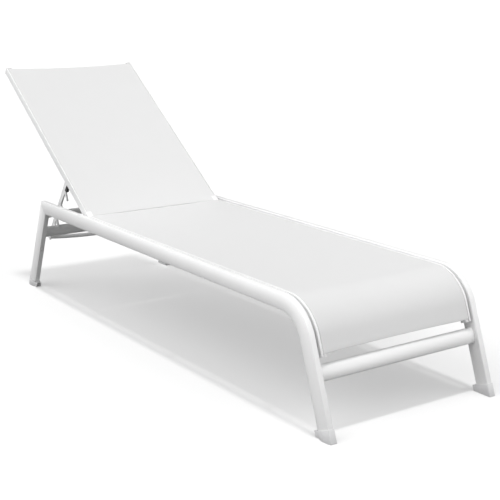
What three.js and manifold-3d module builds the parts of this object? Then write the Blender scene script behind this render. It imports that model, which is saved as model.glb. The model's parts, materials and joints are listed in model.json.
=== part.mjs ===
// A reclining sling sun lounger in powder-coated aluminium.
// Millimetres. X runs across, -Y is the foot end, +Y the head end, Z is up.
// The origin is on the floor, in the middle of the whole lounger.
// While it is drawn, Y is counted from midway between the legs.
// The left side is the one at -X. The right side is its mirror image.
import * as THREE from "three";
import { mergeVertices } from "three/addons/utils/BufferGeometryUtils.js";
import Module from "manifold-3d";

// ---------- overall sizes ----------
const OVERALL_WIDTH = 610;
const FRAME_HEIGHT = 351.5;
const LEG_SPAN = 1864; // between the outer edges of the front and rear legs, at the floor
const GAP = 0.3; // air kept between pieces that touch

// ---------- side frame tube: flat inside, crowned outside ----------
const TUBE_DEPTH = 46;
const TUBE_WIDTH = 23;
const TUBE_CROWN = 5;
const TUBE_WALL = 2;
const TUBE_CORNER = 2;
const BEND_RADIUS = 115.5; // of the tube's centre line, where the rail turns into the front leg
const FRONT_LEG_RAKE = 19.8; // degrees from upright
const REAR_LEG_RAKE = 22.3;
const BEND_STEPS = 12;

// ---------- cross tubes ----------
const STRETCHER_DEPTH = 46;
const STRETCHER_WIDTH = 24;
const STRETCHER_WALL = 2;
const FRONT_STRETCHER_HEIGHT = 163.5;
const REAR_STRETCHER_DROP = 126; // from the top of the side frame to its middle
const CROSSBAR_DIAMETER = 24;
const CROSSBAR_WALL = 2;
const CROSSBAR_DROP = 51; // from the top of the side frame to the middle of the crossbar
const CROSSBAR_AHEAD = 15.5; // of the rear leg's centre line

// ---------- feet ----------
const FOOT_WALL = 1.5;
const FOOT_SOLE = 8;
const FOOT_SLEEVE = 28; // height of the sleeve above the floor, along the leg
const FOOT_HEEL = 13;
const FOOT_FIT = 0.4;
const HEEL_POCKET = [11, 13, 22]; // width, height and depth of the hollow in the heel
const PLUG_DIAMETER = 10;
const PLUG_HEIGHT = 155;

// ---------- sling rails ----------
const RAIL_SIDE_GAP = 9; // between a side frame and the sling rail inside it
const RAIL_WIDTH = 20.5;
const SEAT_RAIL_DEPTH = 24;
const SEAT_RAIL_RECESS = 3; // below the top of the side frame
const SEAT_LIP = 7; // width of the outer lip
const SEAT_RAIL_END_HEIGHT = 208;
const BACK_RAIL_DEPTH = 28;
const BACK_LIP = 3.5;
const RAIL_WALL = 2;
const RAIL_CORNER = 2.5;
const SLOT_WIDTH = 2.4;
const SLOT_DEPTH = 4;
const GROOVE_DIAMETER = 7;
const INNER_LIP_DROP = 1.5;
const SPLINE_DIAMETER = 5.4;
const SPLINE_INSET = 6; // from the ends of its rail

// ---------- slings ----------
const SLING_THICKNESS = 1.6;
const SLING_EDGE_GAP = 1.5;
const SLING_DROP = 1.6; // of its top face below the outer lip
const SEAT_HEM_HEIGHT = 215;
const SEAT_SLING_REAR_GAP = 10;
const BACK_SLING_START = 0;
const BACK_SLING_TOP_GAP = 6;

// ---------- spreader bars under the slings ----------
const SPREADER_DEPTH = 16;
const SPREADER_WIDTH = 26;
const SPREADER_BOW = 39;
const SPREADER_STEPS = 12;
const SPREADER_BELOW = 16.5; // centre of its ends below the top of the rail
const SEAT_SPREADERS = { front: -480, rear: 110 };
const BACK_SPREADERS = { lower: 139, upper: 730 };

// ---------- backrest and its hinge ----------
const HINGE_Y = 465.5;
const BACK_LENGTH = 813; // from the hinge to the top of the rails
const BACK_ANGLE = 35.5; // degrees above the seat
const KNUCKLE_REACH = 22;
const KNUCKLE_TONGUE = 32;
const HINGE_BOLT_DIAMETER = 8;
const HINGE_BUSH_WALL = 2;
const HINGE_CLEARANCE = 2.5; // between the turning knuckle and the end of the seat rail
const HINGE_PLATE = 4;
const HINGE_PLATE_HEIGHT = 16;
const HINGE_PLATE_LENGTH = 68;
const CAP_THICKNESS = 4;

// ---------- bolts and spacers that carry the seat rails ----------
const BOLT_DIAMETER = 6;
const BOLT_HOLE = 6.8;
const BOLT_HEAD_DIAMETER = 11;
const BOLT_HEAD_HEIGHT = 4;
const BOLT_LENGTH = 38;
const BOLT_DEPTH = 18.5; // below the top of the seat rail
const SPACER_DIAMETER = 16;
const BOLTS = { front: -634, middle: -107, rear: 416 };

// ---------- prop: two notched arms and a release bar ----------
const PROP_ALONG = 247; // from the hinge to the prop's pivot, along the backrest
const PROP_BELOW = 4; // of the middle of the back rail
const PROP_INSET = 71; // from the outer face of the side frame to the arm
const ARM_THICKNESS = 6;
const ARM_BACK = 12;
const ARM_FRONT = 7; // from the pivot to the arm's front edge
const ARM_LENGTH = 349.5; // from the pivot to the release bar
const ARM_END = 12;
const TOOTH_REACH = 34; // from the arm's front edge to the tip, along the tooth
const TOOTH_WIDTH = 7.5;
const TOOTH_SLANT = 24; // degrees the teeth point away from the pivot
const TOOTH_SPACING = 73;
const NOTCH_CLEARANCE = 0.5; // between the crossbar and the notch it sits in
const PIN_DIAMETER = 8;
const PIN_HEAD = 14;
const PIN_BUSH_DIAMETER = 15;
const BUMPER = { length: 24, height: 13, width: 10, gap: 1.5 };
const RELEASE_DIAMETER = 15;
const RELEASE_BOW = 17;

// ---------- worked out from the sizes above ----------
const radians = THREE.MathUtils.degToRad;
const INNER_FACE = OVERALL_WIDTH / 2 - TUBE_WIDTH;
const RAIL_AXIS_Z = FRAME_HEIGHT - TUBE_DEPTH / 2;
const SEAT_TOP = FRAME_HEIGHT - SEAT_RAIL_RECESS;
const RAIL_OUTER = INNER_FACE - RAIL_SIDE_GAP;
const RAIL_INNER = RAIL_OUTER - RAIL_WIDTH;
const HINGE_Z = SEAT_TOP - SEAT_RAIL_DEPTH / 2;
const frontRake = Math.tan(radians(FRONT_LEG_RAKE));
const rearRake = Math.tan(radians(REAR_LEG_RAKE));
const frontHalf = TUBE_DEPTH / 2 / Math.cos(radians(FRONT_LEG_RAKE));
const rearHalf = TUBE_DEPTH / 2 / Math.cos(radians(REAR_LEG_RAKE));
// The centre line of each leg, as its Y at a height above the floor.
const frontLegY = (z) => -LEG_SPAN / 2 + frontHalf + frontRake * z;
const rearLegY = (z) => LEG_SPAN / 2 - rearHalf - rearRake * z;

const REAR_STRETCHER_HEIGHT = FRAME_HEIGHT - REAR_STRETCHER_DROP;
const CROSSBAR_HEIGHT = FRAME_HEIGHT - CROSSBAR_DROP;
const barY = rearLegY(CROSSBAR_HEIGHT) - CROSSBAR_AHEAD;

// The prop's pivot, and the notch over the crossbar, with the backrest raised.
const lift = radians(BACK_ANGLE);
const pivotY = HINGE_Y + PROP_ALONG * Math.cos(lift) + PROP_BELOW * Math.sin(lift);
const pivotZ = HINGE_Z + PROP_ALONG * Math.sin(lift) - PROP_BELOW * Math.cos(lift);
const notchRadius = CROSSBAR_DIAMETER / 2 + NOTCH_CLEARANCE;
// The prop leans until the crossbar lies against the front edge of its arms.
const barBehind = barY - pivotY;
const barBelow = pivotZ - CROSSBAR_HEIGHT;
const barAhead = ARM_FRONT + notchRadius;
const barReach = Math.hypot(barBehind, barBelow);
const propRake = Math.atan2(barBehind, barBelow) + Math.asin(barAhead / barReach);
const barAlong = Math.sqrt(barReach ** 2 - barAhead ** 2);
const slant = radians(TOOTH_SLANT);
const engagedTooth = barAlong - (notchRadius * (1 + Math.sin(slant))) / Math.cos(slant);
// Where the underside of each tooth meets the arm.
const toothPlaces = [-1, 0, 1].map((step) => engagedTooth + step * TOOTH_SPACING);
const toothRoot = TOOTH_WIDTH / Math.cos(slant);
const TOOTH_FILLET = 5;

// ---------- booleans ----------
const wasm = await Module();
wasm.setup();

function solid(geometry) {
  const bare = geometry.clone();
  bare.deleteAttribute("normal");
  bare.deleteAttribute("uv");
  const merged = mergeVertices(bare, 1e-3);
  return new wasm.Manifold(
    new wasm.Mesh({
      numProp: 3,
      vertProperties: merged.attributes.position.array,
      triVerts: new Uint32Array(merged.index.array),
    }),
  );
}

function geometryOf(manifold) {
  const mesh = manifold.getMesh();
  const geometry = new THREE.BufferGeometry();
  const corners = new Float32Array(mesh.numVert * 3);
  for (let i = 0; i < mesh.numVert; i++) {
    const start = i * mesh.numProp;
    corners.set(mesh.vertProperties.subarray(start, start + 3), i * 3);
  }
  geometry.setAttribute("position", new THREE.BufferAttribute(corners, 3));
  geometry.setIndex(new THREE.BufferAttribute(mesh.triVerts, 1));
  geometry.computeVertexNormals();
  return geometry;
}

function cut(geometry, ...tools) {
  return geometryOf(tools.reduce((left, tool) => left.subtract(solid(tool)), solid(geometry)));
}

function join(geometry, ...others) {
  return geometryOf(others.reduce((whole, other) => whole.add(solid(other)), solid(geometry)));
}

// ---------- shapes ----------
// A path in a plane of constant X, given as places with the direction of travel at each.
class PlannedPath extends THREE.Curve {
  constructor(stations) {
    super();
    this.stations = stations;
  }
  at(u) {
    return this.stations[Math.round(u * (this.stations.length - 1))];
  }
  getPoint(u) {
    return this.at(u).place.clone();
  }
  getPointAt(u) {
    return this.getPoint(u);
  }
  getTangent(u) {
    return this.at(u).heading.clone();
  }
  getTangentAt(u) {
    return this.getTangent(u);
  }
}

// In a section, x is measured towards the outside of the left side and y towards its top.
function sweep(section, stations) {
  return new THREE.ExtrudeGeometry(section, {
    extrudePath: new PlannedPath(stations),
    steps: stations.length - 1,
    curveSegments: 6,
    bevelEnabled: false,
  });
}

function station(x, y, z, angle) {
  return {
    place: new THREE.Vector3(x, y, z),
    heading: new THREE.Vector3(0, Math.cos(angle), Math.sin(angle)),
  };
}

// The foot-end leg, the bend and the rail, as one path at the given X, offset below the frame's axis.
function bentPath(x, below, bottom, rear) {
  const lean = radians(90 - FRONT_LEG_RAKE);
  const radius = BEND_RADIUS - below;
  const centreZ = RAIL_AXIS_Z - BEND_RADIUS;
  const cornerY = frontLegY(RAIL_AXIS_Z);
  const centreY = cornerY + BEND_RADIUS * Math.tan(lean / 2);
  const stations = [];
  const legTop = new THREE.Vector2(centreY, centreZ).add(
    new THREE.Vector2(-Math.sin(lean), Math.cos(lean)).multiplyScalar(radius),
  );
  const fall = legTop.y - bottom;
  stations.push(station(x, legTop.x - fall / Math.tan(lean), bottom, lean));
  for (let i = 0; i <= BEND_STEPS; i++) {
    const angle = lean * (1 - i / BEND_STEPS);
    const y = centreY - radius * Math.sin(angle);
    const z = centreZ + radius * Math.cos(angle);
    stations.push(station(x, y, z, angle));
  }
  stations.push(station(x, rear, RAIL_AXIS_Z - below, 0));
  return stations;
}

// A straight length along +Y, with the section lying the same way as in a sweep.
function straight(section, x, from, to, z = 0) {
  const bar = new THREE.ExtrudeGeometry(section, { depth: to - from, curveSegments: 6, bevelEnabled: false });
  const across = new THREE.Vector3(-1, 0, 0);
  const up = new THREE.Vector3(0, 0, 1);
  const along = new THREE.Vector3(0, 1, 0);
  bar.applyMatrix4(new THREE.Matrix4().makeBasis(across, up, along));
  bar.translate(x, from, z);
  return bar;
}

function crownedOutline(inset, Outline = THREE.Shape) {
  const crownRadius = ((TUBE_DEPTH / 2) ** 2 + TUBE_CROWN ** 2) / (2 * TUBE_CROWN);
  const half = TUBE_DEPTH / 2 - inset;
  const radius = crownRadius - inset;
  const angle = Math.asin(half / radius);
  const corner = Math.max(TUBE_CORNER - inset, 0.5);
  const outline = new Outline();
  outline.moveTo(inset + corner, -half);
  outline.absarc(TUBE_WIDTH - crownRadius, 0, radius, -angle, angle, false);
  outline.lineTo(inset + corner, half);
  outline.lineTo(inset, half - corner);
  outline.lineTo(inset, corner - half);
  outline.closePath();
  return outline;
}

function crownedTube() {
  const section = crownedOutline(0);
  section.holes.push(crownedOutline(TUBE_WALL, THREE.Path));
  return section;
}

function ovalTube(depth, width, wall) {
  const section = new THREE.Shape();
  section.absellipse(0, 0, width / 2, depth / 2, 0, 2 * Math.PI, false);
  const hole = new THREE.Path();
  hole.absellipse(0, 0, width / 2 - wall, depth / 2 - wall, 0, 2 * Math.PI, false);
  section.holes.push(hole);
  return section;
}

// A sling rail: x from 0 at its inner face, y from 0 at the top of its outer lip.
function railSection(depth, lip) {
  const mouthOut = RAIL_WIDTH - lip;
  const mouthIn = mouthOut - SLOT_WIDTH;
  const radius = GROOVE_DIAMETER / 2;
  const middle = (mouthIn + mouthOut) / 2;
  const open = Math.asin(SLOT_WIDTH / 2 / radius);
  const section = new THREE.Shape();
  section.moveTo(RAIL_CORNER, -depth);
  section.lineTo(RAIL_WIDTH - RAIL_CORNER, -depth);
  section.lineTo(RAIL_WIDTH, RAIL_CORNER - depth);
  section.lineTo(RAIL_WIDTH, -1);
  section.lineTo(RAIL_WIDTH - 1, 0);
  section.lineTo(mouthOut, 0);
  section.absarc(middle, -SLOT_DEPTH - radius, radius, Math.PI / 2 - open, -1.5 * Math.PI + open, true);
  section.lineTo(mouthIn, -INNER_LIP_DROP);
  section.lineTo(RAIL_CORNER, -INNER_LIP_DROP);
  section.lineTo(0, -INNER_LIP_DROP - RAIL_CORNER);
  section.lineTo(0, RAIL_CORNER - depth);
  section.closePath();
  const roof = -SLOT_DEPTH - GROOVE_DIAMETER - RAIL_WALL;
  const floor = RAIL_WALL - depth;
  const chamber = new THREE.Path();
  chamber.moveTo(RAIL_WALL, floor);
  chamber.lineTo(RAIL_WIDTH - RAIL_WALL, floor);
  chamber.lineTo(RAIL_WIDTH - RAIL_WALL, roof);
  chamber.lineTo(RAIL_WALL, roof);
  chamber.closePath();
  section.holes.push(chamber);
  return section;
}

function roundSection(diameter, x = 0, y = 0) {
  const section = new THREE.Shape();
  section.absarc(x, y, diameter / 2, 0, 2 * Math.PI, false);
  return section;
}

// A round bar along X between two distances from the middle of the lounger, on the left side.
function barX(diameter, from, to, y, z, sides = 16) {
  const bar = new THREE.CylinderGeometry(diameter / 2, diameter / 2, to - from, sides);
  bar.rotateZ(Math.PI / 2);
  bar.translate(-(from + to) / 2, y, z);
  return bar;
}

function sleeveX(outer, inner, from, to, y, z, sides = 20) {
  return cut(barX(outer, from, to, y, z, sides), barX(inner, from - 1, to + 1, y, z, sides));
}

// A flat piece cut from sheet: an outline in Y and Z, with its thickness along X on the left side.
function sheetX(outline, from, to) {
  const plate = new THREE.ExtrudeGeometry(outline, {
    depth: to - from,
    curveSegments: 8,
    bevelEnabled: false,
  });
  // The outline's x and y become Y and Z, and its thickness runs along X.
  plate.applyMatrix4(
    new THREE.Matrix4().makeBasis(
      new THREE.Vector3(0, 1, 0),
      new THREE.Vector3(0, 0, 1),
      new THREE.Vector3(1, 0, 0),
    ),
  );
  plate.translate(-to, 0, 0);
  return plate;
}

function box(xFrom, xTo, yFrom, yTo, zFrom, zTo) {
  const block = new THREE.BoxGeometry(xTo - xFrom, yTo - yFrom, zTo - zFrom);
  block.translate((xFrom + xTo) / 2, (yFrom + yTo) / 2, (zFrom + zTo) / 2);
  return block;
}

// ---------- materials ----------
const powderCoat = new THREE.MeshStandardMaterial({ color: 0xf1f1f0, roughness: 0.38, metalness: 0 });
const slingCloth = new THREE.MeshStandardMaterial({ color: 0xe9e9e8, roughness: 0.85, metalness: 0 });
const whiteNylon = new THREE.MeshStandardMaterial({ color: 0xdedede, roughness: 0.5, metalness: 0 });
const greyNylon = new THREE.MeshStandardMaterial({ color: 0xb9b9b8, roughness: 0.55, metalness: 0 });
const blackNylon = new THREE.MeshStandardMaterial({ color: 0x1c1c1c, roughness: 0.6, metalness: 0 });
const steel = new THREE.MeshStandardMaterial({ color: 0xb8babc, roughness: 0.3, metalness: 1 });
const vinyl = new THREE.MeshStandardMaterial({ color: 0xd8d8d6, roughness: 0.6, metalness: 0 });

function add(group, name, geometry, material) {
  const mesh = new THREE.Mesh(geometry, material);
  mesh.name = name;
  group.add(mesh);
}

// ---------- side frame ----------
// Everything behind the mitre that runs through the corner of the rail and the rear leg.
function mitreTool(shift) {
  const cornerY = rearLegY(RAIL_AXIS_Z);
  const tool = box(-OVERALL_WIDTH, 0, shift, 400, -400, 400);
  tool.rotateX(-radians((90 - REAR_LEG_RAKE) / 2));
  tool.translate(0, cornerY, RAIL_AXIS_Z);
  return tool;
}

function boltHoles(z) {
  return Object.values(BOLTS).map((y) => barX(BOLT_HOLE, 200, INNER_FACE + 10, y, z));
}

function sideFrame() {
  const tube = sweep(crownedTube(), bentPath(-INNER_FACE, 0, -60, LEG_SPAN / 2));
  const floor = box(-OVERALL_WIDTH, 0, -LEG_SPAN, 0, -200, FOOT_SOLE + GAP);
  return cut(tube, floor, mitreTool(-GAP / 2), ...boltHoles(SEAT_TOP - BOLT_DEPTH));
}

function plugPlace() {
  return new THREE.Vector3(
    -(INNER_FACE + (TUBE_WIDTH - TUBE_CROWN) / 2),
    rearLegY(PLUG_HEIGHT) - rearHalf,
    PLUG_HEIGHT,
  );
}

// A round pin square to the front face of the rear leg.
function plugPin(diameter, from, to) {
  const pin = new THREE.CylinderGeometry(diameter / 2, diameter / 2, to - from, 16);
  pin.translate(0, (from + to) / 2, 0);
  pin.rotateX(Math.PI + radians(REAR_LEG_RAKE));
  const place = plugPlace();
  pin.translate(place.x, place.y, place.z);
  return pin;
}

function rearLeg() {
  const length = 560;
  const tube = straight(crownedTube(), -INNER_FACE, -150, length);
  tube.rotateX(-radians(90 - REAR_LEG_RAKE));
  tube.translate(0, rearLegY(RAIL_AXIS_Z), RAIL_AXIS_Z);
  const rail = solid(mitreTool(GAP / 2));
  const floor = box(-OVERALL_WIDTH, 0, 0, LEG_SPAN, -400, FOOT_SOLE + GAP);
  const kept = solid(tube).intersect(rail).subtract(solid(floor));
  return geometryOf(kept.subtract(solid(plugPin(PLUG_DIAMETER - 3, -10, 10))));
}

// ---------- feet ----------
// The outside of a foot: the tube's outline grown by the wall, with a heel on the side away from the toe.
function footOutline() {
  const crownRadius = ((TUBE_DEPTH / 2) ** 2 + TUBE_CROWN ** 2) / (2 * TUBE_CROWN);
  const half = TUBE_DEPTH / 2 + FOOT_WALL;
  const radius = crownRadius + FOOT_WALL;
  const angle = Math.asin(half / radius);
  const outside = TUBE_WIDTH - crownRadius + radius * Math.cos(angle);
  const outline = new THREE.Shape();
  outline.moveTo(2 - FOOT_WALL, -half - FOOT_HEEL);
  outline.lineTo(outside, -half - FOOT_HEEL);
  outline.absarc(TUBE_WIDTH - crownRadius, 0, radius, -angle, angle, false);
  outline.lineTo(2 - FOOT_WALL, half);
  outline.lineTo(-FOOT_WALL, half - 2);
  outline.lineTo(-FOOT_WALL, 2 - half - FOOT_HEEL);
  outline.closePath();
  return outline;
}

// A boot on the end of a leg that leans by `rake` towards the toe, at -Y.
function foot(rake, legY) {
  const upright = radians(90 - rake);
  const halfAcross = TUBE_DEPTH / 2 + FOOT_WALL;
  const sleeve = FOOT_SLEEVE / Math.sin(upright);
  const body = straight(footOutline(), -INNER_FACE, -60, sleeve);
  const socket = straight(crownedOutline(-FOOT_FIT), -INNER_FACE, -60, 120);
  for (const piece of [body, socket]) {
    piece.rotateX(upright);
    piece.translate(0, legY, 0);
  }
  const reach = halfAcross * 4;
  const under = box(-OVERALL_WIDTH, 0, legY - reach, legY + reach, -200, 0);
  const sole = box(-OVERALL_WIDTH, 0, legY - reach, legY + reach, -200, FOOT_SOLE);
  const [pocketWidth, pocketHeight, pocketDepth] = HEEL_POCKET;
  const heelFace = legY + (halfAcross + FOOT_HEEL) / Math.sin(upright);
  const middle = INNER_FACE + (TUBE_WIDTH - TUBE_CROWN) / 2;
  const pocket = box(
    -middle - pocketWidth / 2,
    -middle + pocketWidth / 2,
    heelFace - pocketDepth + 10,
    heelFace + 20,
    2.5,
    2.5 + pocketHeight,
  );
  const hollow = solid(socket).subtract(solid(sole));
  return geometryOf(solid(body).subtract(solid(under)).subtract(hollow).subtract(solid(pocket)));
}

// ---------- seat rail and its fasteners ----------
function seatRailPath(below, lift = 0) {
  const rear = HINGE_Y - BACK_RAIL_DEPTH / 2 - HINGE_CLEARANCE;
  return bentPath(-RAIL_INNER, below, SEAT_RAIL_END_HEIGHT + lift, rear - lift);
}

function seatRail() {
  const top = TUBE_DEPTH / 2 - SEAT_RAIL_RECESS;
  const section = railSection(SEAT_RAIL_DEPTH, SEAT_LIP);
  const rail = sweep(section, seatRailPath(-top));
  return cut(rail, ...boltHoles(SEAT_TOP - BOLT_DEPTH));
}

function splineAcross(lip) {
  return RAIL_WIDTH - lip - SLOT_WIDTH / 2;
}

function seatSpline() {
  const below = SLOT_DEPTH + GROOVE_DIAMETER / 2 - (TUBE_DEPTH / 2 - SEAT_RAIL_RECESS);
  const path = seatRailPath(below, SPLINE_INSET);
  return sweep(roundSection(SPLINE_DIAMETER, splineAcross(SEAT_LIP)), path);
}

function seatBolt(y) {
  const head = RAIL_INNER - HINGE_PLATE - 2 * GAP;
  const z = SEAT_TOP - BOLT_DEPTH;
  return join(
    barX(BOLT_HEAD_DIAMETER, head - BOLT_HEAD_HEIGHT, head, y, z, 6),
    barX(BOLT_DIAMETER, head - 1, head + BOLT_LENGTH, y, z, 12),
  );
}

// A washer as thick as the hinge plate, where a bolt has no plate under its head.
function seatWasher(y) {
  const z = SEAT_TOP - BOLT_DEPTH;
  return sleeveX(SPACER_DIAMETER, BOLT_HOLE, RAIL_INNER - GAP - HINGE_PLATE, RAIL_INNER - GAP, y, z);
}

function seatSpacer(y) {
  const z = SEAT_TOP - BOLT_DEPTH;
  return sleeveX(SPACER_DIAMETER, BOLT_HOLE, RAIL_OUTER + GAP, INNER_FACE - GAP, y, z);
}

function hingePlate() {
  const half = HINGE_PLATE_HEIGHT / 2;
  const start = HINGE_Y - HINGE_PLATE_LENGTH + half;
  const outline = new THREE.Shape();
  outline.moveTo(start, HINGE_Z - half);
  outline.lineTo(HINGE_Y, HINGE_Z - half);
  outline.absarc(HINGE_Y, HINGE_Z, half, -Math.PI / 2, Math.PI / 2, false);
  outline.lineTo(start, HINGE_Z + half);
  outline.closePath();
  const inner = RAIL_INNER - GAP - HINGE_PLATE;
  return cut(
    sheetX(outline, inner, inner + HINGE_PLATE),
    barX(HINGE_BOLT_DIAMETER + 0.6, inner - 1, RAIL_INNER, HINGE_Y, HINGE_Z, 20),
    barX(BOLT_HOLE, inner - 1, RAIL_INNER, BOLTS.rear, SEAT_TOP - BOLT_DEPTH),
  );
}

function hingeBolt() {
  const head = RAIL_INNER - HINGE_PLATE - 2 * GAP;
  return join(
    barX(HINGE_BOLT_DIAMETER + 6, head - BOLT_HEAD_HEIGHT, head, HINGE_Y, HINGE_Z, 20),
    barX(HINGE_BOLT_DIAMETER, head - 1, RAIL_OUTER + 4, HINGE_Y, HINGE_Z, 20),
  );
}

// ---------- cross tubes, from side to side ----------
function crossTube(section, y, z, tilt) {
  const reach = INNER_FACE - GAP;
  const tube = new THREE.ExtrudeGeometry(section, {
    depth: 2 * reach,
    curveSegments: 14,
    bevelEnabled: false,
  });
  tube.translate(0, 0, -reach);
  // The section's y now runs along Y, and the tilt turns it up along the leg.
  tube.rotateY(Math.PI / 2);
  tube.rotateX(tilt);
  tube.translate(0, y, z);
  return tube;
}

// A bowed bar from rail to rail. It bends towards -Z.
function spreader(y, z) {
  const reach = RAIL_INNER - GAP;
  const section = new THREE.Shape();
  section.absellipse(0, 0, SPREADER_DEPTH / 2, SPREADER_WIDTH / 2, 0, 2 * Math.PI, false);
  class Bow extends THREE.Curve {
    getPoint(u) {
      const x = reach * (2 * u - 1);
      return new THREE.Vector3(x, y, z - SPREADER_BOW * (1 - (x / reach) ** 4));
    }
    getTangent(u) {
      const x = reach * (2 * u - 1);
      const ends = u < 1e-6 || u > 1 - 1e-6;
      const slope = ends ? 0 : (4 * SPREADER_BOW * (x / reach) ** 3) / reach;
      return new THREE.Vector3(1, 0, slope).normalize();
    }
    getPointAt(u) {
      return this.getPoint(u);
    }
    getTangentAt(u) {
      return this.getTangent(u);
    }
  }
  return new THREE.ExtrudeGeometry(section, {
    extrudePath: new Bow(),
    steps: SPREADER_STEPS * 2,
    curveSegments: 6,
    bevelEnabled: false,
  });
}

// ---------- slings, as plain flat-sided sheets ----------
function slingSection(width) {
  const section = new THREE.Shape();
  section.moveTo(-width / 2, -SLING_THICKNESS);
  section.lineTo(width / 2, -SLING_THICKNESS);
  section.lineTo(width / 2, 0);
  section.lineTo(-width / 2, 0);
  section.closePath();
  return section;
}

const SLING_WIDTH = 2 * (RAIL_INNER - SLING_EDGE_GAP);

function seatSling() {
  const below = SLING_DROP - (TUBE_DEPTH / 2 - SEAT_RAIL_RECESS);
  const rear = HINGE_Y - SEAT_SLING_REAR_GAP;
  return sweep(slingSection(SLING_WIDTH), bentPath(0, below, SEAT_HEM_HEIGHT, rear));
}

// ---------- backrest, drawn lying along +Y from the hinge, its face towards +Z ----------
const BACK_TOP = BACK_RAIL_DEPTH / 2;

function backRail() {
  const section = railSection(BACK_RAIL_DEPTH, BACK_LIP);
  const end = BACK_LENGTH - CAP_THICKNESS - GAP;
  const rail = straight(section, -RAIL_INNER, KNUCKLE_REACH + GAP, end, BACK_TOP);
  return cut(rail, barX(PIN_DIAMETER + 0.6, 200, RAIL_INNER + 5, PROP_ALONG, -PROP_BELOW));
}

function backSpline() {
  const z = BACK_TOP - SLOT_DEPTH - GROOVE_DIAMETER / 2;
  const from = KNUCKLE_REACH + SPLINE_INSET;
  const to = BACK_LENGTH - CAP_THICKNESS - SPLINE_INSET;
  return straight(roundSection(SPLINE_DIAMETER, splineAcross(BACK_LIP)), -RAIL_INNER, from, to, z);
}

// A block that plugs the lower end of a back rail and turns on the hinge bolt.
function knuckle() {
  const radius = BACK_RAIL_DEPTH / 2;
  const outline = new THREE.Shape();
  outline.moveTo(KNUCKLE_REACH, -radius);
  outline.lineTo(KNUCKLE_REACH, radius);
  outline.lineTo(0, radius);
  outline.absarc(0, 0, radius, Math.PI / 2, 1.5 * Math.PI, false);
  outline.closePath();
  const roof = radius - SLOT_DEPTH - GROOVE_DIAMETER - RAIL_WALL - FOOT_FIT;
  const floor = RAIL_WALL + FOOT_FIT - radius;
  const side = RAIL_WALL + FOOT_FIT;
  const tongue = box(
    side - RAIL_OUTER,
    -RAIL_INNER - side,
    KNUCKLE_REACH - 1,
    KNUCKLE_REACH + KNUCKLE_TONGUE,
    floor,
    roof,
  );
  const bore = HINGE_BOLT_DIAMETER + 2 * HINGE_BUSH_WALL + 2 * GAP;
  return cut(
    join(sheetX(outline, RAIL_INNER, RAIL_OUTER), tongue),
    barX(bore, RAIL_INNER - 1, RAIL_OUTER + 1, 0, 0, 20),
  );
}

function hingeBush() {
  const inner = HINGE_BOLT_DIAMETER + 2 * GAP;
  const outer = HINGE_BOLT_DIAMETER + 2 * HINGE_BUSH_WALL;
  return sleeveX(outer, inner, RAIL_INNER + 1, RAIL_OUTER - 1, 0, 0);
}

function railCap() {
  const outline = new THREE.Shape();
  const top = BACK_LENGTH;
  const bottom = BACK_LENGTH - CAP_THICKNESS;
  outline.moveTo(bottom, -BACK_TOP);
  outline.lineTo(top - 2, -BACK_TOP);
  outline.quadraticCurveTo(top, -BACK_TOP, top, 2 - BACK_TOP);
  outline.lineTo(top, BACK_TOP - 2);
  outline.quadraticCurveTo(top, BACK_TOP, top - 2, BACK_TOP);
  outline.lineTo(bottom, BACK_TOP);
  outline.closePath();
  return sheetX(outline, RAIL_INNER, RAIL_OUTER);
}

function backSling() {
  const z = BACK_TOP - SLING_DROP;
  return straight(slingSection(SLING_WIDTH), 0, BACK_SLING_START, BACK_LENGTH - BACK_SLING_TOP_GAP, z);
}

// ---------- prop, drawn along +Y from its pivot, with its teeth towards -Z ----------
const ARM_INNER = OVERALL_WIDTH / 2 - PROP_INSET - ARM_THICKNESS;
const ARM_OUTER = ARM_INNER + ARM_THICKNESS;

// Each tooth hooks down and away from the pivot, so that it can sit over the crossbar.
function armOutline() {
  const outline = new THREE.Shape();
  const end = ARM_LENGTH + ARM_END;
  const run = TOOTH_REACH * Math.sin(slant);
  const drop = TOOTH_REACH * Math.cos(slant);
  outline.moveTo(0, ARM_BACK);
  outline.absarc(0, ARM_BACK - 10, 10, Math.PI / 2, 1.5 * Math.PI, false);
  outline.lineTo(20, -ARM_FRONT);
  for (const under of toothPlaces) {
    const tip = -ARM_FRONT - drop;
    const top = under - toothRoot;
    outline.lineTo(top - TOOTH_FILLET, -ARM_FRONT);
    outline.lineTo(top + run, tip + 3);
    outline.quadraticCurveTo(top + run + 1, tip, under + run - 2, tip);
    outline.lineTo(under + (drop - 2) * Math.tan(slant), tip + 2);
    outline.lineTo(under, -ARM_FRONT);
  }
  outline.lineTo(end - 8, -ARM_FRONT);
  outline.quadraticCurveTo(end, -ARM_FRONT, end, -4);
  outline.lineTo(end, ARM_BACK - 6);
  outline.quadraticCurveTo(end, ARM_BACK, end - 6, ARM_BACK);
  outline.closePath();
  return outline;
}

function propArm() {
  const bore = PIN_DIAMETER + 0.6;
  return cut(
    sheetX(armOutline(), ARM_INNER, ARM_OUTER),
    barX(bore, ARM_INNER - 1, ARM_OUTER + 1, 0, 0, 20),
  );
}

function propBumper() {
  const { length, height, width, gap } = BUMPER;
  const middle = (ARM_INNER + ARM_OUTER) / 2;
  const top = -ARM_FRONT - GAP;
  const outline = new THREE.Shape();
  const finish = toothPlaces[0] - toothRoot - TOOTH_FILLET - gap;
  const start = finish - length;
  outline.moveTo(start, top);
  outline.lineTo(start + 4, top - height + 5);
  outline.quadraticCurveTo(start + 5, top - height, start + 10, top - height);
  outline.lineTo(finish - 5, top - height);
  outline.quadraticCurveTo(finish, top - height, finish, top - height + 5);
  outline.lineTo(finish, top);
  outline.closePath();
  return sheetX(outline, middle - width / 2, middle + width / 2);
}

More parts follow.
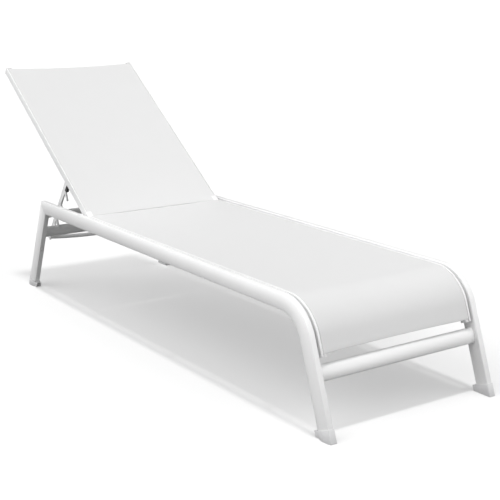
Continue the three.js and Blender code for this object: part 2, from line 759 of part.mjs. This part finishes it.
function releaseBar() {
  const reach = ARM_INNER - GAP;
  class Bow extends THREE.Curve {
    getPoint(u) {
      const x = reach * (2 * u - 1);
      return new THREE.Vector3(x, ARM_LENGTH + RELEASE_BOW * (1 - (x / reach) ** 2), -2);
    }
    getTangent(u) {
      const x = reach * (2 * u - 1);
      const ends = u < 1e-6 || u > 1 - 1e-6;
      const slope = ends ? 0 : (-2 * RELEASE_BOW * x) / reach ** 2;
      return new THREE.Vector3(1, slope, 0).normalize();
    }
    getPointAt(u) {
      return this.getPoint(u);
    }
    getTangentAt(u) {
      return this.getTangent(u);
    }
  }
  return new THREE.ExtrudeGeometry(roundSection(RELEASE_DIAMETER), {
    extrudePath: new Bow(),
    steps: 24,
    curveSegments: 8,
    bevelEnabled: false,
  });
}

// The pin runs from inside the back rail, through the bush, to its head inside the arm.
function propPin() {
  return join(
    barX(PIN_DIAMETER, ARM_INNER - 2, RAIL_OUTER - RAIL_WALL - 1, PROP_ALONG, -PROP_BELOW, 20),
    barX(PIN_HEAD, ARM_INNER - 4, ARM_INNER - GAP, PROP_ALONG, -PROP_BELOW, 20),
  );
}

function propBush() {
  const bore = PIN_DIAMETER + 2 * GAP;
  const y = PROP_ALONG;
  return sleeveX(PIN_BUSH_DIAMETER, bore, ARM_OUTER + GAP, RAIL_INNER - GAP, y, -PROP_BELOW);
}

// ---------- assembly ----------
const lounger = new THREE.Group();

function backFrame(parent) {
  const group = new THREE.Group();
  group.position.set(0, HINGE_Y, HINGE_Z);
  group.rotation.x = radians(BACK_ANGLE);
  parent.add(group);
  return group;
}

function propFrame(parent) {
  const group = new THREE.Group();
  group.position.set(0, PROP_ALONG, -PROP_BELOW);
  group.rotation.x = propRake - radians(90 + BACK_ANGLE);
  parent.add(group);
  return group;
}

for (const side of ["left", "right"]) {
  const half = new THREE.Group();
  half.scale.x = side === "left" ? 1 : -1;
  lounger.add(half);
  add(half, side + "_side_frame", sideFrame(), powderCoat);
  add(half, side + "_rear_leg", rearLeg(), powderCoat);
  add(half, side + "_front_foot", foot(FRONT_LEG_RAKE, frontLegY(0)), greyNylon);
  const rearFoot = foot(REAR_LEG_RAKE, -rearLegY(0));
  rearFoot.rotateZ(Math.PI);
  rearFoot.scale(-1, 1, 1);
  add(half, side + "_rear_foot", flipped(rearFoot), greyNylon);
  add(half, side + "_leg_plug", legPlug(), whiteNylon);
  add(half, side + "_seat_rail", seatRail(), powderCoat);
  add(half, side + "_seat_spline", seatSpline(), vinyl);
  for (const [place, y] of Object.entries(BOLTS)) {
    add(half, `${side}_${place}_spacer`, seatSpacer(y), whiteNylon);
    add(half, `${side}_${place}_bolt`, seatBolt(y), steel);
  }
  add(half, side + "_hinge_plate", hingePlate(), powderCoat);
  add(half, side + "_hinge_bolt", hingeBolt(), steel);
  const back = backFrame(half);
  add(back, side + "_back_rail", backRail(), powderCoat);
  add(back, side + "_back_spline", backSpline(), vinyl);
  add(back, side + "_hinge_knuckle", knuckle(), powderCoat);
  add(back, side + "_hinge_bush", hingeBush(), whiteNylon);
  add(back, side + "_rail_cap", railCap(), whiteNylon);
  add(back, side + "_prop_pin", propPin(), steel);
  add(back, side + "_prop_bush", propBush(), whiteNylon);
  const prop = propFrame(back);
  add(prop, side + "_prop_arm", propArm(), powderCoat);
  add(prop, side + "_prop_bumper", propBumper(), blackNylon);
}

function legPlug() {
  return join(plugPin(PLUG_DIAMETER, GAP, 2.5), plugPin(PLUG_DIAMETER - 4, -6, 1));
}

// Turns the faces of a mirrored geometry outwards again.
function flipped(geometry) {
  const order = geometry.index.array;
  for (let i = 0; i < order.length; i += 3) {
    [order[i + 1], order[i + 2]] = [order[i + 2], order[i + 1]];
  }
  return geometry;
}

const oval = ovalTube(STRETCHER_DEPTH, STRETCHER_WIDTH, STRETCHER_WALL);
const round = ovalTube(CROSSBAR_DIAMETER, CROSSBAR_DIAMETER, CROSSBAR_WALL);
const frontY = frontLegY(FRONT_STRETCHER_HEIGHT);
const rearY = rearLegY(REAR_STRETCHER_HEIGHT);
const frontTube = crossTube(oval, frontY, FRONT_STRETCHER_HEIGHT, radians(90 - FRONT_LEG_RAKE));
const rearTube = crossTube(oval, rearY, REAR_STRETCHER_HEIGHT, radians(90 + REAR_LEG_RAKE));
add(lounger, "front_stretcher", frontTube, powderCoat);
add(lounger, "rear_stretcher", rearTube, powderCoat);
add(lounger, "head_crossbar", crossTube(round, barY, CROSSBAR_HEIGHT, 0), powderCoat);
for (const [place, y] of Object.entries(SEAT_SPREADERS)) {
  add(lounger, `seat_${place}_spreader`, spreader(y, SEAT_TOP - SPREADER_BELOW), powderCoat);
}
add(lounger, "seat_sling", seatSling(), slingCloth);
const backrest = backFrame(lounger);
add(backrest, "back_sling", backSling(), slingCloth);
for (const [place, y] of Object.entries(BACK_SPREADERS)) {
  add(backrest, `back_${place}_spreader`, spreader(y, BACK_TOP - SPREADER_BELOW), powderCoat);
}
add(propFrame(backrest), "release_bar", releaseBar(), powderCoat);

// The origin moves to the middle of the lounger's footprint, on the floor.
const bounds = new THREE.Box3().setFromObject(lounger);
lounger.position.y = -(bounds.min.y + bounds.max.y) / 2;

export default lounger;
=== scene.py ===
# %% [markdown]
# # A white sling sun lounger
#
# The frame is powder-coated aluminium tube, and the seat and back are open-weave cloth
# stretched between slotted rails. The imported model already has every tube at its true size,
# so this lesson keeps those sizes. It rounds and smooths the metal, remakes the two slings
# as cloth, and gives each finish a material of its own. All lengths are in metres.

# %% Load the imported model
import json
import math

import bpy
from mathutils import Euler, Matrix, Vector


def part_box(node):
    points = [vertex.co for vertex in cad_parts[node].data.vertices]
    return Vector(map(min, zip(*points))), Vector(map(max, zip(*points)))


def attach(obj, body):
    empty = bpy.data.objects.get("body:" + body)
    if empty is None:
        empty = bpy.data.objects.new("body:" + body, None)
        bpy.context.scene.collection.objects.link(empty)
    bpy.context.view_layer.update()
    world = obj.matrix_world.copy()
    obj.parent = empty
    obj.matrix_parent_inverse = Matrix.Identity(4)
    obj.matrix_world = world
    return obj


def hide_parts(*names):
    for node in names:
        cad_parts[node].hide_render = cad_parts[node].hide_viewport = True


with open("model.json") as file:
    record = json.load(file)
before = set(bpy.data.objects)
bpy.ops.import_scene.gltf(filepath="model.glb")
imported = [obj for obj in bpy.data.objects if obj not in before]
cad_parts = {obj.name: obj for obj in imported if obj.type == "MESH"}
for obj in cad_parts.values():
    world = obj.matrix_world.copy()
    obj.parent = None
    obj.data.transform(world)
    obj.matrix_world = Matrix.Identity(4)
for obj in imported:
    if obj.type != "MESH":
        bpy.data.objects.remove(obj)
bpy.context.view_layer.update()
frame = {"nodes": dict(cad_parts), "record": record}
MM = 0.001

# %% [markdown]
# ## Small helpers
#
# An operator works on whatever is selected, so each step first selects just the objects it
# is for. The material helpers turn a hex colour into linear light, add a node with its
# settings and its links, and start a material with some of its values set.


# %% Selecting, colours and nodes
def select_only(*objects):
    bpy.ops.object.select_all(action="DESELECT")
    for thing in objects:
        thing.select_set(True)
        bpy.context.view_layer.objects.active = thing


def linear(hex_colour):
    channels = [int(hex_colour[i : i + 2], 16) / 255 for i in (1, 3, 5)]
    return tuple(c / 12.92 if c <= 0.04045 else ((c + 0.055) / 1.055) ** 2.4 for c in channels) + (1.0,)


def add_node(tree, kind, settings=(), inputs=(), links=()):
    made = tree.nodes.new(kind)
    for key, value in dict(settings).items():
        setattr(made, key, value)
    for key, value in dict(inputs).items():
        made.inputs[key].default_value = value
    for key, source in dict(links).items():
        tree.links.new(source, made.inputs[key])
    return made


def new_material(name, **sockets):
    made = bpy.data.materials.new(name)
    made.use_nodes = True
    shader = made.node_tree.nodes["Principled BSDF"]
    for key, value in sockets.items():
        shader.inputs[key.replace("_", " ")].default_value = value
    return made, made.node_tree, shader


# %% [markdown]
# ## The powder coat
#
# White polyester powder is sprayed on the aluminium and baked. It flows into a satin skin
# with a very slight orange peel, about 1.5 mm from dimple to dimple. The eye sees a soft
# highlight that is never quite straight. Its white and its gloss drift a little over a
# hand's breadth, so one noise drives both.


# %% White satin powder coat
PEEL = 1.5 * MM


def powder_coat():
    made, tree, shader = new_material("white_satin_powder_coat", IOR=1.5)
    place = add_node(tree, "ShaderNodeTexCoord").outputs["Object"]
    patches = add_node(
        tree, "ShaderNodeTexNoise", inputs={"Scale": 9.0, "Detail": 3.0}, links={"Vector": place}
    )
    shade = add_node(
        tree,
        "ShaderNodeMix",
        {"data_type": "RGBA"},
        {"A": linear("#F1F1F1"), "B": linear("#F6F6F6")},
        {"Factor": patches.outputs["Fac"]},
    )
    tree.links.new(shade.outputs["Result"], shader.inputs["Base Color"])
    gloss = add_node(
        tree,
        "ShaderNodeMapRange",
        inputs={"To Min": 0.32, "To Max": 0.42},
        links={"Value": patches.outputs["Fac"]},
    )
    tree.links.new(gloss.outputs["Result"], shader.inputs["Roughness"])
    peel = add_node(
        tree, "ShaderNodeTexNoise", inputs={"Scale": 1 / PEEL, "Detail": 1.0}, links={"Vector": place}
    )
    bump = add_node(
        tree,
        "ShaderNodeBump",
        inputs={"Strength": 0.12, "Distance": 0.05 * MM},
        links={"Height": peel.outputs["Fac"]},
    )
    tree.links.new(bump.outputs["Normal"], shader.inputs["Normal"])
    return made


POWDER = powder_coat()

# %% [markdown]
# ## The sling cloth
#
# Sling cloth is polyester yarn, coated in vinyl and woven open, in pairs of threads about
# 1.2 mm apart. It is matt, and its weave is bumped as a faint grid. The tiny holes between
# the threads are painted darker, as painted shade in the recesses of the weave. The
# pattern follows the cloth's own UV map, measured in metres, so it bends where the cloth does.
# The pairs are drawn 2.4 mm apart, twice the real spacing, so that they show at all.

# %% White open-weave sling cloth
THREAD_PAIR = 2.4 * MM


def sling_cloth():
    made, tree, shader = new_material("white_vinyl_coated_weave", Roughness=0.62, IOR=1.5)
    shader.inputs["Sheen Weight"].default_value = 0.08
    shader.inputs["Sheen Roughness"].default_value = 0.5
    place = add_node(tree, "ShaderNodeUVMap", {"uv_map": "cloth"}).outputs["UV"]
    threads = []
    for direction in ("X", "Y"):
        wave = add_node(
            tree,
            "ShaderNodeTexWave",
            {"bands_direction": direction, "wave_profile": "SIN"},
            {"Scale": math.pi / (10 * THREAD_PAIR)},
            {"Vector": place},
        )
        threads.append(wave.outputs["Fac"])
    # where both waves peak lies a hole in the weave; this drives the bump, and the painted shade in the
    # holes
    weave_and_painted_hole_shade = add_node(
        tree, "ShaderNodeMath", {"operation": "MULTIPLY"}, links={0: threads[0], 1: threads[1]}
    ).outputs[0]
    cloudy = add_node(
        tree, "ShaderNodeTexNoise", inputs={"Scale": 14.0, "Detail": 4.0}, links={"Vector": place}
    )
    # painted shade: the holes between the threads are coloured #CCCCCC, the threads #E1E1E1
    thread_colour_with_painted_hole_shade = add_node(
        tree,
        "ShaderNodeMix",
        {"data_type": "RGBA"},
        {"A": linear("#E1E1E1"), "B": linear("#CCCCCC")},
        {"Factor": weave_and_painted_hole_shade},
    )
    tone = add_node(
        tree,
        "ShaderNodeMapRange",
        inputs={"To Min": 0.975, "To Max": 1.0},
        links={"Value": cloudy.outputs["Fac"]},
    )
    shaded = add_node(
        tree,
        "ShaderNodeVectorMath",
        {"operation": "SCALE"},
        links={0: thread_colour_with_painted_hole_shade.outputs["Result"], "Scale": tone.outputs["Result"]},
    )
    tree.links.new(shaded.outputs[0], shader.inputs["Base Color"])
    bump = add_node(
        tree,
        "ShaderNodeBump",
        {"invert": True},
        {"Strength": 0.35, "Distance": 0.25 * MM},
        {"Height": weave_and_painted_hole_shade},
    )
    tree.links.new(bump.outputs["Normal"], shader.inputs["Normal"])
    return made


CLOTH = sling_cloth()

# %% [markdown]
# ## The small parts
#
# Feet, caps, bushes, spacers, plugs and bumpers are moulded nylon: even in colour, slightly
# waxy, with a fine spark-eroded grain. The bolts and pins are plain stainless steel, turned,
# so their gloss is uneven round the head. The cords in the slots are soft extruded vinyl.


# %% Moulded nylon, vinyl and stainless steel
def moulded(name, hex_colour, roughness, grain):
    made, tree, shader = new_material(name, Roughness=roughness, IOR=1.53)
    place = add_node(tree, "ShaderNodeTexCoord").outputs["Object"]
    mottle = add_node(
        tree, "ShaderNodeTexNoise", inputs={"Scale": 60.0, "Detail": 3.0}, links={"Vector": place}
    )
    darker = tuple(c * 0.93 for c in linear(hex_colour)[:3]) + (1.0,)
    tint = add_node(
        tree,
        "ShaderNodeMix",
        {"data_type": "RGBA"},
        {"A": darker, "B": linear(hex_colour)},
        {"Factor": mottle.outputs["Fac"]},
    )
    tree.links.new(tint.outputs["Result"], shader.inputs["Base Color"])
    sparks = add_node(
        tree, "ShaderNodeTexNoise", inputs={"Scale": 1 / grain, "Detail": 2.0}, links={"Vector": place}
    )
    bump = add_node(
        tree,
        "ShaderNodeBump",
        inputs={"Strength": 0.2, "Distance": 0.06 * MM},
        links={"Height": sparks.outputs["Fac"]},
    )
    tree.links.new(bump.outputs["Normal"], shader.inputs["Normal"])
    return made


def turned_steel():
    made, tree, shader = new_material("turned_stainless_steel", Metallic=1.0)
    place = add_node(tree, "ShaderNodeTexCoord").outputs["Object"]
    marks = add_node(
        tree, "ShaderNodeTexNoise", inputs={"Scale": 900.0, "Detail": 2.0}, links={"Vector": place}
    )
    tint = add_node(
        tree,
        "ShaderNodeMix",
        {"data_type": "RGBA"},
        {"A": linear("#B4B6B9"), "B": linear("#CFD1D3")},
        {"Factor": marks.outputs["Fac"]},
    )
    tree.links.new(tint.outputs["Result"], shader.inputs["Base Color"])
    gloss = add_node(
        tree,
        "ShaderNodeMapRange",
        inputs={"To Min": 0.2, "To Max": 0.38},
        links={"Value": marks.outputs["Fac"]},
    )
    tree.links.new(gloss.outputs["Result"], shader.inputs["Roughness"])
    return made


FINISHES = {
    "powder_coat": POWDER,
    "sling_cloth": CLOTH,
    "white_nylon": moulded("moulded_white_nylon", "#E6E6E5", 0.42, 0.4 * MM),
    "grey_nylon": moulded("moulded_grey_nylon", "#DCDCDD", 0.48, 0.4 * MM),
    "black_nylon": moulded("moulded_black_nylon", "#3A3A3A", 0.5, 0.4 * MM),
    "steel": turned_steel(),
    "vinyl": moulded("extruded_white_vinyl", "#DDDDDA", 0.55, 0.8 * MM),
}
print("materials:", ", ".join(m.name for m in FINISHES.values()))

# %% [markdown]
# ## Rounding the metal
#
# Extruded and sawn metal never has a knife edge, and the coat rounds it further. A copy of
# each rigid node is merged into a clean mesh, given a small bevel, and shaded smooth across
# the curve of the tube. The copy stands for the node, and every size stays the same.

# %% Which node has which finish, and which body it moves with
SLOT_OF = {row["node"]: row["material_slot"] for row in frame["record"]["subparts"]}
BODIES = frame["record"]["behaviour"]["bodies"]
BODY_OF = {node: body for body, nodes in BODIES.items() for node in nodes}
SOFT = ("seat_sling", "back_sling")
EDGE = {
    "powder_coat": 0.7 * MM,
    "white_nylon": 0.5 * MM,
    "grey_nylon": 1.2 * MM,
    "black_nylon": 1.0 * MM,
}
SMALL_EDGE = 0.3 * MM  # on pins, bolts and cords
CREASE = math.radians(32)  # a sharper edge than this is bevelled, a softer one is shaded smooth
FLAT = math.radians(0.5)  # faces that meet flatter than this become one


def finished_copy(node):
    source = frame["nodes"][node]
    piece = source.copy()
    piece.data = source.data.copy()
    piece.name = node + "_finished"
    bpy.context.collection.objects.link(piece)
    select_only(piece)
    bpy.ops.object.mode_set(mode="EDIT")
    bpy.ops.mesh.select_all(action="SELECT")
    bpy.ops.mesh.remove_doubles(threshold=0.01 * MM)
    bpy.ops.mesh.dissolve_limited(angle_limit=FLAT)
    bpy.ops.object.mode_set(mode="OBJECT")
    bevel = piece.modifiers.new("edge", "BEVEL")
    bevel.width = EDGE.get(SLOT_OF[node], SMALL_EDGE)
    bevel.segments = 2
    bevel.limit_method = "ANGLE"
    bevel.angle_limit = CREASE
    bpy.ops.object.modifier_apply(modifier="edge")
    bpy.ops.object.shade_smooth_by_angle(angle=CREASE)
    piece.data.materials.clear()
    piece.data.materials.append(FINISHES[SLOT_OF[node]])
    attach(piece, BODY_OF[node])
    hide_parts(node)
    return piece


# %% Round every rigid node
rigid = [node for node in SLOT_OF if node not in SOFT]
finished = {node: finished_copy(node) for node in rigid}
print(len(finished), "rigid pieces,", sum(len(p.data.polygons) for p in finished.values()), "faces")

# %% [markdown]
# ## The slings
#
# Each sling is one length of cloth with a hem welded round a cord down both long sides. The
# cords slide into the rails' slots, and the spreader bars pull the cloth tight. So the cloth
# is a thin sheet that runs over the rails' lower lip and down into the slots, dips a little
# across its width, and is folded back under itself at both ends. It is built as a grid along
# a path. The path starts under the sheet, comes round the fold, and ends under it again.

# %% Sizes of the cloth
LEG_RAKE = 19.8  # degrees from upright
LEG_SLOPE = math.radians(90 - LEG_RAKE)
BEND_RADIUS = 133.9 * MM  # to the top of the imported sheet
SHEET = 1.6 * MM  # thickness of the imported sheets
CLOTH_THICKNESS = 1.0 * MM
LIFT = 1.45 * MM  # over the rail's lower, inner lip
HEM = 26 * MM
FOLD = 1.1 * MM
UNDER_HALF_WIDTH = 250 * MM
END_EASE = 150 * MM  # over which an end's shallower dip and its curve fade out
END_DIP = 0.3  # the share of the dip that is left at an end
CLOTH_CREASE = math.radians(50)  # a sharper turn than this shows as an edge
SLOT_FROM_INNER_FACE = {"seat_sling": 12.3 * MM, "back_sling": 15.8 * MM}
INNER_FACE_OF_RAIL = 252.5 * MM
ACROSS = 48
HEM_STEPS, FOLD_STEPS, BEND_STEPS = 8, 6, 24
DROP_STEPS, SEAT_STEPS, BACK_STEPS = 6, 80, 60


def place_on_line(start, slope, distance, height=0.0, up=1):
    y = start[0] + distance * math.cos(slope) - height * math.sin(slope)
    z = start[1] + distance * math.sin(slope) + height * math.cos(slope)
    return (y, z, -math.sin(slope) * up, math.cos(slope) * up)


def folded_hem(start, slope, up=1):
    """The underside of a sheet's end, then the fold, up to where the sheet begins."""
    under = up * (LIFT - 2 * FOLD)
    steps = range(HEM_STEPS + 1)
    points = [place_on_line(start, slope, HEM * (1 - i / HEM_STEPS), under, up) for i in steps]
    for i in range(1, FOLD_STEPS):
        turn = math.pi * i / FOLD_STEPS
        height = up * (LIFT - FOLD - FOLD * math.cos(turn))
        points.append(place_on_line(start, slope, -FOLD * math.sin(turn), height, up))
    return points


# %% The paths of both slings
def seat_path():
    low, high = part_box("seat_sling")
    start = (low[1], low[2] + SHEET * math.cos(LEG_SLOPE))
    centre_z = high[2] - BEND_RADIUS
    run = (centre_z + BEND_RADIUS * math.cos(LEG_SLOPE) - start[1]) / math.sin(LEG_SLOPE)
    centre_y = start[0] + run * math.cos(LEG_SLOPE) + BEND_RADIUS * math.sin(LEG_SLOPE)
    points = folded_hem(start, LEG_SLOPE)
    points += [place_on_line(start, LEG_SLOPE, run * i / DROP_STEPS, LIFT) for i in range(DROP_STEPS)]
    for i in range(BEND_STEPS + 1):
        slope = LEG_SLOPE * (1 - i / BEND_STEPS)
        radius = BEND_RADIUS + LIFT
        y = centre_y - radius * math.sin(slope)
        z = centre_z + radius * math.cos(slope)
        points.append((y, z, -math.sin(slope), math.cos(slope)))
    flat = (centre_y, high[2])
    step = (high[1] - centre_y) / SEAT_STEPS
    points += [place_on_line(flat, 0.0, step * i, LIFT) for i in range(1, SEAT_STEPS + 1)]
    return points + folded_hem((high[1], high[2]), math.pi, -1)[::-1]


def back_path():
    low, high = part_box("back_sling")
    lean = math.atan2(high[2] - low[2], high[1] - low[1])
    for _ in range(8):  # the sheet's thickness leans too, so the lean is found by rounds
        run = (high[1] - low[1] - SHEET * math.sin(lean), high[2] - low[2] - SHEET * math.cos(lean))
        lean = math.atan2(run[1], run[0])
    start = (low[1], low[2] + SHEET * math.cos(lean))
    points = folded_hem(start, lean)
    step = math.hypot(*run) / BACK_STEPS
    points += [place_on_line(start, lean, step * i, LIFT) for i in range(BACK_STEPS + 1)]
    end = (start[0] + run[0], start[1] + run[1])
    return points + folded_hem(end, lean + math.pi, -1)[::-1]


# %% A grid of cloth along a path
def columns(node):
    """The places across the cloth, and how far each lies down in the slot."""
    slot = INNER_FACE_OF_RAIL + SLOT_FROM_INNER_FACE[node]
    edge = [(slot, 4.5 * MM), (slot, 1.2 * MM), (slot - 0.5 * MM, 0.3 * MM), (slot - 1.3 * MM, 0.0)]
    inner = slot - 3 * MM
    middle = [(inner * (2 * i / ACROSS - 1), 0.0) for i in range(ACROSS + 1)]
    return [(-x, down) for x, down in edge] + middle + edge[::-1]


def cloth_sheet(node, path, dip, end_curve):
    """The cloth as one surface. Its UV map is the distance across and along, in metres."""
    row = columns(node)
    half = row[-1][0]
    along = [0.0]
    for before, after in zip(path, path[1:]):
        along.append(along[-1] + math.dist(before[:2], after[:2]))
    across = [0.0]
    for before, after in zip(row, row[1:]):
        across.append(across[-1] + math.dist(before, after))
    verts, uvs, faces = [], [], []
    for place, (y, z, ny, nz) in enumerate(path):
        under = min(place, len(path) - 1 - place) <= HEM_STEPS
        to_end = max(0.0, min(along[place], along[-1] - along[place]) - HEM)
        ease = min(1.0, to_end / END_EASE)
        heading = (nz, -ny)
        towards = 1 if place < len(path) / 2 else -1
        for (x, drop), u in zip(row, across):
            if under:
                x, drop = max(-UNDER_HALF_WIDTH, min(UNDER_HALF_WIDTH, x)), 0.0
            crown = 1 - (x / half) ** 2
            down = drop + dip * crown * (END_DIP + (1 - END_DIP) * ease)
            slide = end_curve[0 if towards > 0 else 1] * (1 - ease) ** 2 * crown * towards
            verts.append((x, y - ny * down + heading[0] * slide, z - nz * down + heading[1] * slide))
            uvs.append((u, along[place]))
    width = len(row)
    for j in range(len(path) - 1):
        for i in range(width - 1):
            a = j * width + i
            faces.append((a, a + 1, a + width + 1, a + width))
    mesh = bpy.data.meshes.new(node + "_cloth")
    mesh.from_pydata(verts, [], faces)
    layer = mesh.uv_layers.new(name="cloth")
    for loop in mesh.loops:
        layer.data[loop.index].uv = uvs[loop.vertex_index]
    mesh.materials.append(CLOTH)
    sheet = bpy.data.objects.new(node + "_cloth", mesh)
    bpy.context.collection.objects.link(sheet)
    select_only(sheet)
    solid = sheet.modifiers.new("thickness", "SOLIDIFY")
    solid.thickness = CLOTH_THICKNESS
    solid.offset = -1
    bpy.ops.object.modifier_apply(modifier="thickness")
    bpy.ops.object.shade_smooth_by_angle(angle=CLOTH_CREASE)
    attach(sheet, BODY_OF[node])
    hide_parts(node)
    print(f"{node}: cut {across[-1]:.3f} m wide, {along[-1]:.3f} m long")
    return sheet


# %% Both slings
cloth_sheet("seat_sling", seat_path(), dip=5 * MM, end_curve=(3 * MM, 2 * MM))
cloth_sheet("back_sling", back_path(), dip=5 * MM, end_curve=(2 * MM, 9 * MM))

# %% [markdown]
# ## Floor, light and camera
#
# The lounger stands on a white floor under a sun lamp high overhead. Two soft boxes, one at
# the foot end and one behind the left side, are drawn as bright patches on a dim dome. They
# brighten the front of the tubes and the rails' outer sides, and leave dark what lies under
# the cloth. The floor and the backdrop are only a stage, so they may look whiter than they
# shine. A Light Path node tells the view from bounced light: the floor glows and is pale to
# look at, but throws less light up under the lounger, and the dim dome shows plain white.


# %% A white floor
FLOOR_GLOW = 0.29
FLOOR_BOUNCE = "#7A7A7A"  # its colour for light that bounces off it
FLOOR_SIZE = 400


def floor_material():
    made, tree, shader = new_material("plain_white_floor", Roughness=1.0)
    shader.inputs["Specular IOR Level"].default_value = 0.0
    shader.inputs["Emission Color"].default_value = (1, 1, 1, 1)
    seen = add_node(tree, "ShaderNodeLightPath").outputs["Is Camera Ray"]
    glow = add_node(tree, "ShaderNodeMath", {"operation": "MULTIPLY"}, {1: FLOOR_GLOW}, {0: seen})
    tree.links.new(glow.outputs[0], shader.inputs["Emission Strength"])
    place = add_node(tree, "ShaderNodeTexCoord").outputs["Object"]
    noise = add_node(tree, "ShaderNodeTexNoise", inputs={"Scale": 2.0}, links={"Vector": place})
    tone = add_node(
        tree,
        "ShaderNodeMix",
        {"data_type": "RGBA"},
        {"A": linear("#D3D3D3"), "B": linear("#D5D5D5")},
        {"Factor": noise.outputs["Fac"]},
    )
    shown = add_node(
        tree,
        "ShaderNodeMix",
        {"data_type": "RGBA"},
        {"A": linear(FLOOR_BOUNCE)},
        {"Factor": seen, "B": tone.outputs["Result"]},
    )
    tree.links.new(shown.outputs["Result"], shader.inputs["Base Color"])
    return made


select_only()
bpy.ops.mesh.primitive_plane_add(size=FLOOR_SIZE, location=(0, 0, -0.5 * MM))
floor = bpy.context.object
floor.name = "studio_floor"
floor.data.materials.append(floor_material())

# %% The dome and the lamp
DOME_DIM, DOME_ZENITH = 0.06, 0.28
SOFT_BOXES = (  # the direction, the brightness, and the cosine at which it has faded out
    ((0.5, -0.8, 0.2), 1.7, 0.5),
    ((-0.9, 0.3, 0.3), 1.9, 0.3),
)
SUN_STRENGTH, SUN_SOFTNESS = 1.2, 6.0  # the second in degrees
world = bpy.data.worlds.new("dome")
bpy.context.scene.world = world
world.use_nodes = True
sky = world.node_tree
direction = add_node(sky, "ShaderNodeTexCoord").outputs["Generated"]
height = add_node(sky, "ShaderNodeSeparateXYZ", links={"Vector": direction}).outputs["Z"]
total = add_node(
    sky,
    "ShaderNodeMapRange",
    inputs={"From Min": 0.0, "From Max": 1.0, "To Min": DOME_DIM, "To Max": DOME_ZENITH},
    links={"Value": height},
).outputs["Result"]
for where, brightness, edge in SOFT_BOXES:
    middle = Vector(where).normalized()
    facing = add_node(
        sky, "ShaderNodeVectorMath", {"operation": "DOT_PRODUCT"}, {1: middle}, {0: direction}
    )
    patch = add_node(
        sky,
        "ShaderNodeMapRange",
        {"interpolation_type": "SMOOTHSTEP"},
        {"From Min": edge, "From Max": 1.0, "To Min": 0.0, "To Max": brightness},
        {"Value": facing.outputs["Value"]},
    )
    total = add_node(
        sky, "ShaderNodeMath", {"operation": "ADD"}, links={0: total, 1: patch.outputs["Result"]}
    ).outputs[0]
seen = add_node(sky, "ShaderNodeLightPath").outputs["Is Camera Ray"]
shown = add_node(sky, "ShaderNodeMath", {"operation": "MAXIMUM"}, links={0: total, 1: seen})
sky.links.new(shown.outputs[0], sky.nodes["Background"].inputs["Strength"])
sky.nodes["Background"].inputs["Color"].default_value = (1, 1, 1, 1)

sun_data = bpy.data.lights.new("overhead_sun", "SUN")
sun_data.energy = SUN_STRENGTH
sun_data.angle = math.radians(SUN_SOFTNESS)
sun = bpy.data.objects.new("overhead_sun", sun_data)
sun.location = (0, 0, 5)
bpy.context.collection.objects.link(sun)
bpy.context.scene.view_settings.view_transform = "Standard"

# %% The camera, placed from the hinge
CAMERA_TURN, CAMERA_TILT, CAMERA_ROLL = -0.6119031, 0.2417324, 0.0029415  # radians
SENSOR_WIDTH = 36
CAMERA_FROM_HINGE = Vector((-1.9574, -3.3956, 0.8139))
LENS_PER_FRAME = 2.18414  # focal length, as a multiple of the sensor's width
low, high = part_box("left_hinge_bolt")
hinge = Vector((0, (low[1] + high[1]) / 2, (low[2] + high[2]) / 2))
camera_data = bpy.data.cameras.new("camera")
camera_data.sensor_width = SENSOR_WIDTH
camera_data.lens = SENSOR_WIDTH * LENS_PER_FRAME
camera_data.clip_end = 500
camera = bpy.data.objects.new("camera", camera_data)
level = Euler((math.pi / 2 - CAMERA_TILT, 0, CAMERA_TURN)).to_matrix()
camera.rotation_euler = (level @ Matrix.Rotation(CAMERA_ROLL, 3, "Z")).to_euler()
camera.location = hinge + CAMERA_FROM_HINGE
bpy.context.collection.objects.link(camera)
bpy.context.scene.camera = camera
print("camera at", [round(v, 3) for v in camera.location])
